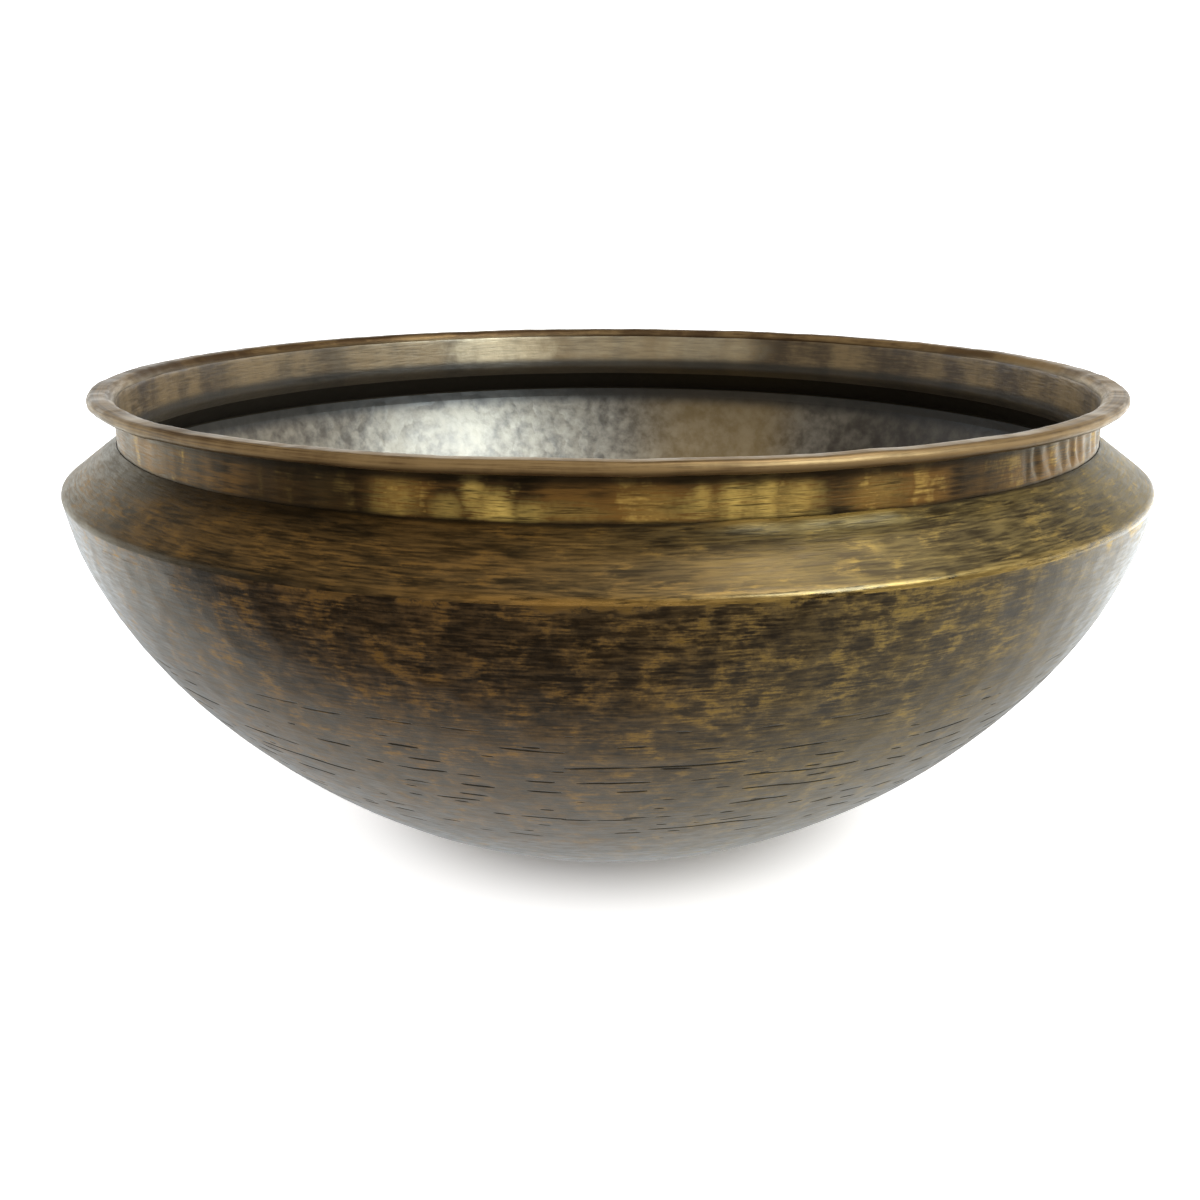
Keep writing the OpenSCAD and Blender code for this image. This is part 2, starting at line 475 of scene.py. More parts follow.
class Sections:
    """The section of each shell, worked out from the frame's sizes."""

    slope = 36.5
    waist_lean = 9.2
    waist_round = 3.0 * MM
    lap_length = 5.0 * MM
    film = 0.3 * MM
    seam_lip = 0.5 * MM
    lip_sheet = 0.7 * MM
    neck_radius = 0.230
    rim_bead = 5.0 * MM
    rim_turn = 4.0 * MM
    foot_length = 7.0 * MM
    foot_turn = 3.4 * MM
    neck_gap = 0.4 * MM
    hem_gap = 0.9 * MM

    def __init__(self):
        self.sheet = sizes().sheet
        self.waist_z = BOWL_SEAM_TOP + 0.24 * MM
        self.turn_centre = (WAIST_RADIUS - self.waist_round, self.waist_z)
        normal = (90 - self.slope) * DEG
        self.normal = (math.cos(normal), math.sin(normal))
        self.run = (self.normal[1], -self.normal[0])
        self.slope_top = polar(self.turn_centre, self.waist_round, 90 - self.slope)
        lean = self.waist_lean * DEG
        self.lap_up = (math.sin(lean), math.cos(lean))
        self.lap_in = (-math.cos(lean), math.sin(lean))
        self.lap_top = polar(self.turn_centre, self.waist_round, -self.waist_lean)
        self.ledge = self.seam_lip + self.film
        self.spread = 0.1 * self.lap_length

    def slope_z(self, radius, depth):
        """Height of a line laid under the shoulder's outer face, at a depth."""
        x = self.slope_top[0] - depth * self.normal[0]
        z = self.slope_top[1] - depth * self.normal[1]
        return z + (x - radius) * math.tan(self.slope * DEG)

    def lap(self, climb, depth):
        """A point in the waist lap: climb along the belly from the seam, depth in from its face."""
        up = climb - self.lap_length
        return tuple(self.lap_top[i] + up * self.lap_up[i] + depth * self.lap_in[i] for i in (0, 1))

    def belly(self):
        """Control points of the belly, and the soft corner it leaves the flat by."""
        rise = 16 * DEG
        run = (math.cos(rise), math.sin(rise))
        corner = (0.080, 0.0)
        start = (corner[0] + 7.2 * MM * run[0], corner[1] + 7.2 * MM * run[1])
        low = (corner[0] + 71.8 * MM * run[0], corner[1] + 71.8 * MM * run[1])
        end = self.lap(0.0, 0.0)
        high = (end[0] - 79.1 * MM * self.lap_up[0], end[1] - 79.1 * MM * self.lap_up[1])
        flat = (corner[0] - 7.2 * MM, 0.0)
        soft = []
        for i in range(5):
            t = i / 4
            w = ((1 - t) ** 2, 2 * t * (1 - t), t * t)
            soft.append(tuple(w[0] * flat[k] + w[1] * corner[k] + w[2] * start[k] for k in (0, 1)))
        return [start, low, high, end], soft

    def lower_bowl(self, outer_steps=92, inner_steps=58):
        """Outside line from the axis up to the seam, and inside line back to the axis."""
        control, soft = self.belly()
        outside = [(0.0, 0.0), *soft]
        outside = spaced(outside, 9 * MM)
        outside += [curve(control, i / outer_steps) for i in range(1, outer_steps + 1)]
        top = [
            self.lap(0.0, self.ledge),
            self.lap(self.lap_length, self.ledge + self.spread),
            self.lap(self.lap_length, self.ledge + self.spread + self.lip_sheet),
            self.lap(0.0, self.ledge + self.lip_sheet),
        ]
        outside += spaced([outside[-1], *top], 2 * MM)[1:]
        inside = []
        for i in range(inner_steps, -1, -1):
            x, z = curve(control, i / inner_steps)
            dx, dz = curve_run(control, i / inner_steps)
            size = math.hypot(dx, dz)
            inside.append((x - self.sheet * dz / size, z + self.sheet * dx / size))
        inside += spaced([inside[-1], (soft[0][0], self.sheet), (0.0, self.sheet)], 11 * MM)[1:]
        return outside, inside

    def shoulder(self):
        """Closed line of the shoulder, from the foot of its mouth and back to it."""
        mouth = self.neck_radius + self.neck_gap
        start = (mouth, self.slope_z(mouth, self.sheet))
        inner_round = self.waist_round - self.sheet
        line = [start, (mouth, self.slope_z(mouth, 0.0))]
        line += turned(self.turn_centre, self.waist_round, 90 - self.slope, -self.waist_lean, 7)
        line += [
            self.lap(0.0, 0.0),
            self.lap(0.0, self.seam_lip),
            self.lap(self.lap_length, self.seam_lip + self.spread),
        ]
        line += turned(self.turn_centre, inner_round, -self.waist_lean, 90 - self.slope, 4)
        return spaced([*line, start], 1.9 * MM)

    def foot(self):
        """Corner and tip of the neck's foot, under the shoulder."""
        corner = (self.neck_radius, self.slope_z(self.neck_radius, self.sheet + self.film))
        tip = tuple(corner[i] + self.foot_length * self.run[i] for i in (0, 1))
        return corner, tip

    def bead_centre(self):
        """Centre of the roll at the rim's edge."""
        return (RIM_RADIUS - self.rim_bead / 2, RIM_TOP - self.rim_bead / 2)

    def neck(self):
        """Closed line of the neck and its rolled rim."""
        corner, tip = self.foot()
        under = tuple(tip[i] - self.sheet * self.normal[i] for i in (0, 1))
        wall = self.neck_radius - self.sheet
        foot_depth = 2 * self.sheet + self.film
        turn_x = wall + self.foot_turn
        turn_z = self.slope_z(turn_x, foot_depth) + self.foot_turn / math.cos(self.slope * DEG)
        rim_centre = (self.neck_radius + self.rim_turn, RIM_TOP - self.sheet - self.rim_turn)
        bead = self.bead_centre()
        hole = self.rim_bead / 2 - self.sheet
        hem = self.neck_radius + self.hem_gap
        line = [corner, tip, under]
        line += turned((turn_x, turn_z), self.foot_turn, 270 - self.slope, 180, 5)
        line += turned(rim_centre, self.rim_turn + self.sheet, 180, 90, 7)
        line += turned(bead, self.rim_bead / 2, 90, -90, 12)
        line += [(hem, bead[1] - self.rim_bead / 2), (hem, bead[1] - hole)]
        line += turned(bead, hole, -90, 90, 6)
        line += turned(rim_centre, self.rim_turn, 90, 180, 4)
        return spaced([*line, corner], 1.9 * MM)

    def wire(self):
        """Closed line of the core wire."""
        hole = self.rim_bead / 2 - self.sheet
        return turned(self.bead_centre(), hole - 0.03 * MM, 0, 360, 12)

    def waist_film(self):
        """Closed line of the brazing metal in the waist lap."""
        inner_round = self.waist_round - self.sheet
        start = self.lap(0.0, self.seam_lip)
        line = [
            start,
            self.lap(0.0, self.ledge),
            self.lap(self.lap_length, self.ledge + self.spread),
            self.lap(self.lap_length, self.ledge + self.spread + self.lip_sheet),
        ]
        line += turned(self.turn_centre, inner_round, 15, -self.waist_lean, 4)
        line += [self.lap(self.lap_length, self.seam_lip + self.spread), start]
        return spaced(line, 2.0 * MM)

    def neck_film(self):
        """Closed line of the brazing metal round the neck's foot."""
        corner, tip = self.foot()
        mouth = self.neck_radius + self.neck_gap
        top = self.slope_z(mouth, 0.0) - 0.8 * MM
        end = tuple(tip[i] + self.film * self.normal[i] + self.sheet * self.run[i] for i in (0, 1))
        under = tuple(tip[i] - self.sheet * self.normal[i] for i in (0, 1))
        line = [
            corner,
            (self.neck_radius, top),
            (mouth, top),
            (mouth, self.slope_z(mouth, self.sheet)),
            end,
            under,
            tip,
            corner,
        ]
        return spaced(line, 2.4 * MM)


# ---------------------------------------------------------------- turning and hammering


def draw(name, points):
    """Draws a line through points as edges, one extrusion at a time."""
    bpy.ops.object.select_all(action="DESELECT")
    bpy.ops.mesh.primitive_plane_add(size=MM, location=points[0])
    piece = bpy.context.object
    piece.name = name
    piece.data.name = name
    bpy.ops.object.transform_apply(location=True, rotation=False, scale=False)
    bpy.ops.object.mode_set(mode="EDIT")
    bpy.ops.mesh.select_mode(type="VERT")
    bpy.ops.mesh.select_all(action="SELECT")
    bpy.ops.mesh.merge(type="CENTER")
    for a, b in zip(points, points[1:]):
        step = [q - p for p, q in zip(a, b)]
        bpy.ops.mesh.extrude_vertices_move(TRANSFORM_OT_translate={"value": step})
    bpy.ops.mesh.select_all(action="SELECT")
    bpy.ops.mesh.remove_doubles(threshold=1e-5)
    bpy.ops.object.mode_set(mode="OBJECT")
    return piece


def turn_up(name, line, steps, start=0.0, angle=2 * math.pi):
    """Draws a section of (radius, height) points and turns it about the bowl's axis."""
    piece = draw(name, [(x * math.cos(start), x * math.sin(start), z) for x, z in line])
    screw = piece.modifiers.new("turning", "SCREW")
    screw.axis = "Z"
    screw.angle = angle
    screw.steps = steps
    screw.render_steps = steps
    screw.use_merge_vertices = angle > 6.283
    screw.merge_threshold = 1e-5
    bpy.ops.object.modifier_apply(modifier="turning")
    bpy.ops.object.mode_set(mode="EDIT")
    bpy.ops.mesh.select_all(action="SELECT")
    bpy.ops.mesh.remove_doubles(threshold=1e-5)
    bpy.ops.mesh.select_all(action="SELECT")
    bpy.ops.mesh.fill_holes(sides=0)
    bpy.ops.mesh.select_all(action="SELECT")
    bpy.ops.mesh.normals_make_consistent(inside=False)
    bpy.ops.object.mode_set(mode="OBJECT")
    return piece


def finish_piece(piece, node, materials):
    """Smooths a piece, gives it its materials and ties it to the frame."""
    bpy.ops.object.select_all(action="DESELECT")
    piece.select_set(True)
    bpy.context.view_layer.objects.active = piece
    bpy.ops.object.shade_smooth_by_angle(angle=42 * DEG)
    for material in materials:
        piece.data.materials.append(material)
    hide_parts(node)
    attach(piece, "root")


def hammer(piece, name, shape):
    """Moves a piece's skin by a pattern, with a Geometry Nodes modifier that is then applied."""
    tree = bpy.data.node_groups.new(name, "GeometryNodeTree")
    tree.interface.new_socket("Geometry", in_out="INPUT", socket_type="NodeSocketGeometry")
    tree.interface.new_socket("Geometry", in_out="OUTPUT", socket_type="NodeSocketGeometry")
    b = Bench(tree)
    metal = b.node("NodeGroupInput")
    at = Place(b, b.term(b.node("GeometryNodeInputPosition")))
    skin = b.term(b.node("GeometryNodeInputNormal"))
    out = b.vector(at.across, at.along, 0.0)
    up = b.vector(0.0, 0.0, 1.0)
    move = shape(b, at, skin)
    move = move + out * (wander(b, at) * sizes().wander)
    move = move + up * (lift(b, at) * 0.55 * MM)
    inputs = {"Geometry": b.term(metal), "Offset": move}
    placed = b.node("GeometryNodeSetPosition", {}, inputs)
    b.node("NodeGroupOutput", {}, {0: b.term(placed)})
    modifier = piece.modifiers.new(name, "NODES")
    modifier.node_group = tree
    bpy.context.view_layer.objects.active = piece
    bpy.ops.object.modifier_apply(modifier=name)


def still(b, at, skin):
    """No hammering of its own: the piece only follows its neighbours."""
    return skin * 0.0


def bowl_blows(b, at, skin):
    """Hammering of the lower bowl: rounded facets, and sunk dashes low on the outside."""
    size = sizes().facet
    depth = sizes().facet_depth
    blow = planish(b, at, size)
    centre = b.vector(at.x, at.y, at.z - 0.25)
    facing = b.dot(skin, centre)
    outside = b.step(facing, -0.02, 0.02)
    low = b.step(at.z, 0.075, 0.145, 0.45, 1.0)
    calm = b.step(at.z, WAIST_Z_CALM, WAIST_Z_CALM - 0.006)
    calm = calm * b.largest(b.step(at.radius, 0.074, 0.092), 1 - outside)
    marks = (blow * blow - 0.35) * depth * (0.55 + 0.45 * outside) * low
    return skin * ((marks - dash_rows(b, at) * 0.25 * MM * outside) * calm)


def shoulder_blows(b, at, skin):
    """Hammering of the shoulder: long shallow marks, and a mouth that stands off at one place."""
    marks = shoulder_marks(b, at)
    calm = b.step(at.z, WAIST_Z_CALM - 0.004, WAIST_Z_CALM + 0.006)
    lifted = b.vector(at.across * 0.9 * MM, at.along * 0.9 * MM, 0.8 * MM)
    gap = lifted * (mouth_bay(b, at) * mouth_edge(b, at, 5.0 * MM))
    return skin * ((marks * marks - 0.3) * 0.16 * MM * calm) + gap


def neck_blows(b, at, skin):
    """Hammering of the neck: upright facets, crimps beside the seam, and a beaten rim."""
    out = b.vector(at.across, at.along, 0.0)
    facing = b.dot(skin, out)
    wall = b.window(at.z, RIM_TOP - 0.022, RIM_TOP - 0.008, 0.002)
    slabs = neck_slabs(b, at)
    rim = b.step(at.z, RIM_TOP - 0.007, RIM_TOP - 0.004)
    beats = b.noise(at.round_point(0.24, at.z, 1.0), 85.0, detail=1.0) - 0.5
    drawn = crimps(b, at)
    shape = (slabs * slabs - 0.3) * 0.30 * MM * wall * facing
    shape = shape + rim * beats * 0.45 * MM
    return skin * (shape - drawn * 1.1 * MM * facing)


def shoulder_marks(b, at):
    """Marks on the shoulder, drawn out level."""
    drum = at.round_point(0.25, at.z - at.radius, 1.7)
    shake = b.term(b.node("ShaderNodeTexNoise", {}, {"Vector": drum, "Scale": 90.0, "Detail": 1.0}), "Color")
    drum = drum + (shake - b.vector(0.5, 0.5, 0.5)) * 0.014
    return b.cells(drum, 58.0)


def neck_slabs(b, at):
    """Broad upright facets of the neck."""
    drum = at.round_point(0.25, at.z, 0.12)
    return b.cells(drum, 62.0)


WAIST_Z_CALM = BOWL_SEAM_TOP - 0.001


# ---------------------------------------------------------------- finishes


def new_finish(name):
    """A material with a Principled shader, and the bench and place to work its pattern out on."""
    material = bpy.data.materials.new(name)
    material.use_nodes = True
    tree = material.node_tree
    tree.nodes.clear()
    b = Bench(tree)
    shader = b.node("ShaderNodeBsdfPrincipled")
    b.node("ShaderNodeOutputMaterial", {}, {"Surface": b.term(shader)})
    at = Place(b, b.term(b.node("ShaderNodeTexCoord"), "Object"))
    return material, b, shader, at


# Tints of what the metal reflects head-on, and of the light it reflects at a low angle.
OLD_LACQUER = (1.0, 0.78, 0.45, 1.0)
THIN_LACQUER = (1.0, 0.84, 0.60, 1.0)
COOL_GLOW = (0.78, 0.88, 1.0)


def set_metal(b, shader, colour, metallic, roughness, height, index=1.95):
    """Feeds the pattern to the shader: colour, bareness, polish and relief in metres."""
    b.feed(shader.inputs["Base Color"], colour)
    b.feed(shader.inputs["Metallic"], metallic)
    b.feed(shader.inputs["Roughness"], roughness)
    shader.inputs["IOR"].default_value = index
    relief = b.node("ShaderNodeBump", {}, {"Height": height, "Distance": 1.0, "Strength": 1.0})
    b.feed(shader.inputs["Normal"], b.term(relief, "Normal"))


def brushing(b, at, across, level):
    """Fine level scratches, between 0 and 1: long round the bowl and thin up it."""
    drum = b.vector(at.across * 0.25 * across, at.along * 0.25 * across, level)
    return b.step(b.noise(drum, 1.0, detail=3.0, rough=0.65), 0.30, 0.70)


def belly_finish():
    """Outside of the lower bowl: dark marks ringed with worn gold, over level dashes, with painted light
    that makes it lighter low down and round to the right.
    """
    c = colours()
    material, b, shader, at = new_finish("hammered_belly_patina")
    size = sizes().facet
    blow = planish(b, at, size)
    scratch = brushing(b, at, 90.0, at.z * 1000.0)
    broad = brushing(b, at, 34.0, at.z * 260.0)
    clouds = b.step(b.noise(at.point, 20.0, detail=3.0, rough=0.6), 0.30, 0.70)
    ragged = b.noise(at.point, 280.0, detail=3.0, rough=0.65)
    chosen = b.noise(at.point, 75.0, detail=1.0)
    high = b.step(at.z, 0.105, 0.165)
    right = b.step(at.turn, -4 * DEG, 30 * DEG) * b.step(at.turn, 120 * DEG, 80 * DEG)
    mottle = b.step(b.noise(at.point, 120.0, detail=4.0, rough=0.7), 0.34, 0.66)
    edge = b.step(blow + (ragged - 0.5), 0.20, 0.90)
    rubbed = flecks(b, at.round_point(0.25, at.z, 1.9), scratch)
    shade = edge * 0.12 + mottle * 0.24 + clouds * 0.12 + broad * 0.18 + scratch * 0.26
    # Painted light: the patina is made lighter round to the right, on the window's side, and low down, where
    # the pale floor is reflected; the olive tint to the right is partly painted light too.
    shade = shade + rubbed * 0.22 + right * 0.16 + (1 - high) * 0.20
    olive = to_right(b, at, -12.0, 25.0)
    body = b.blend(b.step(shade, 0.22, 1.15), c.soot, b.blend(olive, c.umber, c.olive))
    where = b.step(chosen + (clouds - 0.5) * 0.12 + (mottle - 0.5) * 0.12, 0.40, 0.66)
    rings = crescents(b, blow, ragged, where)
    drawn = b.step(broad + clouds * 0.4 + mottle * 0.4, 0.95, 1.60) * right * high
    hang = b.noise(at.round_point(0.25, at.z, 0.4), 62.0, detail=2.0) - 0.5
    crest = b.step(at.z + hang * 0.016, 0.1764, 0.1795) * b.step(mottle + (broad - 0.5) * 0.4, 0.20, 0.80)
    near = b.step(at.turn, -30 * DEG, -16 * DEG) * b.step(at.turn, 120 * DEG, 80 * DEG)
    worn = b.largest(rings * (0.55 + 0.35 * high), drawn * 0.75) + 0.10
    # From 34 to 110 degrees round to the right the worn gold is toned down, standing in for the haze of
    # reflection there.
    worn = worn * rubbed * (0.75 - 0.40 * b.window(at.turn, 34 * DEG, 110 * DEG, 8 * DEG))
    # Painted shade: the gold on the ridge crest is kept dim to the left of the front.
    worn = b.largest(worn, crest * 0.62 * (0.25 + 0.75 * near)) * (0.40 + 0.60 * scratch)
    colour = b.blend(worn, body, b.blend(olive, c.gold, c.honey))
    dashes = dash_rows(b, at)
    colour = b.blend(dashes * 0.9, colour, (0.006, 0.004, 0.002))
    metallic = b.step(worn, 0.0, 0.7, 0.35, 0.80)
    roughness = b.largest(0.30 + 0.12 * scratch, dashes * 0.85)
    height = blow * blow * 0.12 * MM + scratch * 0.022 * MM + ragged * 0.06 * MM
    height = height - dashes * 0.30 * MM
    shader.inputs["Specular Tint"].default_value = THIN_LACQUER
    set_metal(b, shader, colour, metallic, roughness, height, index=1.7)
    return material


def inside_finish():
    """Inside of the lower bowl: greyed brass, mottled by the blows, with painted shade round to the right
    and under the shoulder.
    """
    c = colours()
    material, b, shader, at = new_finish("hammered_inside_pewter")
    clouds = b.noise(at.point, 28.0, detail=3.0, rough=0.6)
    mottle = b.noise(at.point, 120.0, detail=3.0, rough=0.6)
    shade = mottle * 0.7 + clouds * 0.3
    colour = b.blend(b.step(shade, 0.33, 0.67), (0.115, 0.088, 0.055), c.pewter)
    angle = b.math("ARCTAN2", at.x, at.y)
    seen = b.step(at.z, 0.085, 0.140)
    warm = b.step(angle, 0.0, 14 * DEG) * b.step(angle, 34 * DEG, 24 * DEG) * seen
    colour = b.blend(warm * 0.60, colour, (0.38, 0.24, 0.055))
    shaded = b.step(angle, 22 * DEG, 52 * DEG) * b.step(angle, 175 * DEG, 120 * DEG) * seen
    colour = b.blend(shaded * 0.65, colour, (0.022, 0.013, 0.005))
    roughness = 0.34 + 0.16 * mottle
    # Painted shade: the top of the inside wall darkened under the shoulder.
    recess = b.step(at.z, 0.166, 0.1765)
    colour = b.blend(recess * 0.9, colour, (0.010, 0.008, 0.005))
    blow = planish(b, at, sizes().facet * 0.75)
    height = blow * blow * 0.20 * MM + mottle * 0.16 * MM
    set_metal(b, shader, colour, 0.30, roughness, height)
    return material


def shoulder_finish():
    """Shoulder: mid-brown patina with drawn-out flecks and a ridge worn to gold, with painted shade round
    the neck's foot and on the left, and a painted highlight on the lifted lip.
    """
    c = colours()
    material, b, shader, at = new_finish("hammered_shoulder_patina")
    blow = shoulder_marks(b, at)
    slant = at.z - at.radius
    scratch = brushing(b, at, 80.0, slant * 650.0)
    broad = brushing(b, at, 26.0, slant * 170.0)
    drum = at.round_point(0.25, slant, 1.6)
    clouds = b.step(b.noise(drum, 22.0, detail=3.0, rough=0.6), 0.30, 0.70)
    ragged = b.noise(drum, 150.0, detail=3.0, rough=0.65)
    chosen = b.noise(drum, 60.0, detail=1.0)
    shade = clouds * 0.26 + broad * 0.25 + scratch * 0.50
    shade = shade + b.step(blow + (ragged - 0.5), 0.35, 0.75) * 0.12
    olive = to_right(b, at, -12.0, 25.0)
    # The lighter olive body round to the right is partly painted light from the window's side.
    light = b.blend(olive, (0.130, 0.066, 0.014), (0.150, 0.104, 0.028))
    body = b.blend(b.step(shade, 0.10, 1.1), (0.014, 0.007, 0.0015), light)
    where = b.step(chosen + (broad - 0.5) * 0.12, 0.42, 0.64)
    rings = crescents(b, blow, ragged, where) * flecks(b, drum, scratch)
    ridge_top = b.window(at.z, WAIST_Z_CALM - 0.001, WAIST_Z_CALM + 0.0035, 0.0015)
    # Painted shade: the worn gold of the ridge fades out to the left of the front.
    front = to_right(b, at, -18.0, -2.0) * 0.90 + 0.10
    crest = ridge_top * b.step(ragged + (broad - 0.5) * 0.5, 0.36, 0.60) * front
    worn = b.largest(rings * 0.60, crest * 0.55) * (0.30 + scratch * 0.70)
    bay = mouth_bay(b, at)
    lip = mouth_edge(b, at, 3.0 * MM)
    # The gold on the lifted lip in the bay is worn metal and also a painted highlight along its edge.
    worn = b.largest(worn, bay * lip * 0.8)
    colour = b.blend(worn, body, b.blend(olive, c.gold, c.honey))
    # Painted shade: a dark line at the neck's foot, a soft dark band below the neck on the left, and the
    # ridge darkened on the left.
    painted_shade = mouth_edge(b, at, 1.6 * MM) * (1 - bay)
    left = 1 - to_right(b, at, -30.0, -8.0)
    painted_shade = b.largest(painted_shade * 0.85, mouth_edge(b, at, 13.0 * MM) * left * 0.75)
    painted_shade = b.largest(painted_shade, ridge_top * left * 0.85)
    colour = b.blend(painted_shade, colour, (0.008, 0.004, 0.001))
    polished = b.largest(ridge_top * front, bay * lip)
    metallic = b.step(worn, 0.0, 0.7, 0.40, 0.75) - 0.25 * polished
    roughness = 0.38 + 0.12 * scratch - 0.20 * polished
    height = blow * blow * 0.08 * MM + scratch * 0.05 * MM + ragged * 0.10 * MM
    height = height * (1 - 0.6 * polished)
    shader.inputs["Specular Tint"].default_value = OLD_LACQUER
    set_metal(b, shader, colour, metallic, roughness, height, index=1.75)
    return material


def recess_finish():
    """Underside of the shoulder: painted almost black, as painted shade under the shoulder."""
    material, b, shader, at = new_finish("painted_shade_recess")
    grain = b.noise(at.point, 90.0, detail=3.0)
    colour = b.blend(grain, (0.004, 0.003, 0.001), (0.014, 0.010, 0.005))
    set_metal(b, shader, colour, 0.1, 0.5 + 0.2 * grain, grain * 0.1 * MM, index=1.35)
    return material


# Bright patches of the neck, partly worn brass and partly painted highlights: turn in degrees,
# height over the neck's foot in millimetres, half width and half height in millimetres, and how bright each
# one is.
FRONT_WEAR_AND_PAINTED_HIGHLIGHTS = (
    (-18.0, 6.0, 6.0, 7.0, 0.70),
    (-13.5, 4.0, 4.0, 3.0, 0.50),
    (-11.1, 11.0, 2.5, 5.0, 0.85),
    (-9.4, 4.0, 4.5, 4.0, 1.00),
    (-6.0, 3.0, 5.0, 3.0, 0.60),
    (-25.0, 10.0, 4.0, 6.0, 0.12),
    (-31.8, 9.0, 0.9, 7.0, 0.50),
    (-2.5, 4.0, 8.0, 3.0, 0.35),
    (4.3, 5.0, 8.0, 5.0, 0.50),
    (7.0, 6.0, 5.0, 5.0, 0.90),
    (10.5, 7.0, 5.0, 6.0, 0.95),
    (13.0, 8.0, 3.0, 8.0, 0.85),
    (16.0, 6.0, 6.0, 5.0, 0.65),
    (23.6, 8.0, 9.0, 5.0, 0.35),
)
# Painted highlights inside the neck, in the same columns, with the turn measured from the back towards the
# right.
BACK_PAINTED_HIGHLIGHTS = (
    (-18.5, 11.0, 24.0, 9.0, 0.90),
    (-36.0, 11.0, 34.0, 10.0, 0.20),
    (-54.0, 12.0, 36.0, 9.0, 0.10),
    (0.0, 11.0, 26.0, 8.0, 0.35),
    (16.0, 12.0, 24.0, 7.0, 0.45),
)


def neck_finish():
    """Neck and rim: scratch-brushed brass in upright facets, with a handled rim, and painted light and
    shade: highlights among the worn patches, shade under the rim, at the foot and in two stretches round the
    neck, and light on the rim to the right.
    """
    c = colours()
    material, b, shader, at = new_finish("brushed_neck_brass")
    blow = neck_slabs(b, at)
    scratch = brushing(b, at, 70.0, at.z * 1150.0)
    broad = brushing(b, at, 24.0, at.z * 210.0)
    drum = at.round_point(0.25, at.z, 0.5)
    clouds = b.step(b.noise(drum, 30.0, detail=3.0, rough=0.6), 0.30, 0.70)
    fine = b.noise(at.round_point(0.25, at.z, 1.0), 110.0, detail=3.0, rough=0.65)
    panel = b.step(b.noise(at.round_point(0.25, at.z, 0.1), 48.0, detail=1.0), 0.30, 0.70)
    shade = clouds * 0.32 + panel * 0.26 + scratch * 0.42 + broad * 0.20
    bronze = b.blend(b.step(shade, 0.20, 1.05), (0.012, 0.005, 0.001), c.bronze)
    bright = b.step(fine + (panel - 0.5) * 0.3, 0.56, 0.76) * 0.35
    stray = (fine - 0.5) * 3.4 + (scratch - 0.5) * 2.6 + (clouds - 0.5) * 1.2 + 0.3
    # The bright patches at the front are partly worn brass and partly painted highlights where the window is
    # reflected.
    bright = b.largest(bright, spots(b, at, at.turn, stray, FRONT_WEAR_AND_PAINTED_HIGHLIGHTS))
    colour = b.blend(bright * (0.10 + 0.90 * scratch), bronze, c.straw)
    # Painted shade: two stretches round the neck, left and right of the front, made darker.
    dull = b.window(at.turn, -34 * DEG, -20 * DEG, 3 * DEG) * 0.75
    dull = b.largest(dull, b.window(at.turn, 31 * DEG, 41 * DEG, 4 * DEG) * 0.45)
    colour = b.blend(dull, colour, (0.012, 0.006, 0.002))
    rim = b.step(at.z, RIM_TOP - 0.0060, RIM_TOP - 0.0045)
    drawn = brushing(b, at, 16.0, (at.radius - at.z) * 900.0)
    rubbed = b.noise(at.point, 28.0, detail=2.0) * 0.45 + fine * 0.3 + drawn * 0.25
    # Painted light: the rim is made lighter round to the right.
    rubbed = b.step(rubbed, 0.32, 0.68) + to_right(b, at, -80.0, 0.0) * 0.50 - 0.32
    handled = b.blend(rubbed, (0.060, 0.030, 0.011), c.rim_skin)
    # Painted shade on the lower side of the rim's roll.
    under = b.step(at.z, RIM_TOP - 0.0022, RIM_TOP - 0.0044)
    handled = b.blend(under * 0.75, handled, (0.022, 0.010, 0.003))
    # Painted shade: a dark band just under the rim and a dark line at the neck's foot.
    painted_shade = b.window(at.z, RIM_TOP - 0.0095, RIM_TOP - 0.0048, 0.0016)
    foot = b.step(at.z, RIM_TOP - 0.0205, RIM_TOP - 0.0225)
    colour = b.blend(b.largest(painted_shade, foot) * 0.85, colour, (0.006, 0.003, 0.001))
    colour = b.blend(rim, colour, handled)
    roughness = 0.38 + 0.14 * scratch - 0.04 * rim
    height = blow * blow * 0.09 * MM * (1 - rim) + scratch * 0.06 * MM * (1 - rim * 0.7)
    height = height + fine * 0.12 * MM - crimps(b, at) * 0.25 * MM
    shader.inputs["Specular Tint"].default_value = OLD_LACQUER
    set_metal(b, shader, colour, 0.40, roughness, height, index=1.6)
    return material


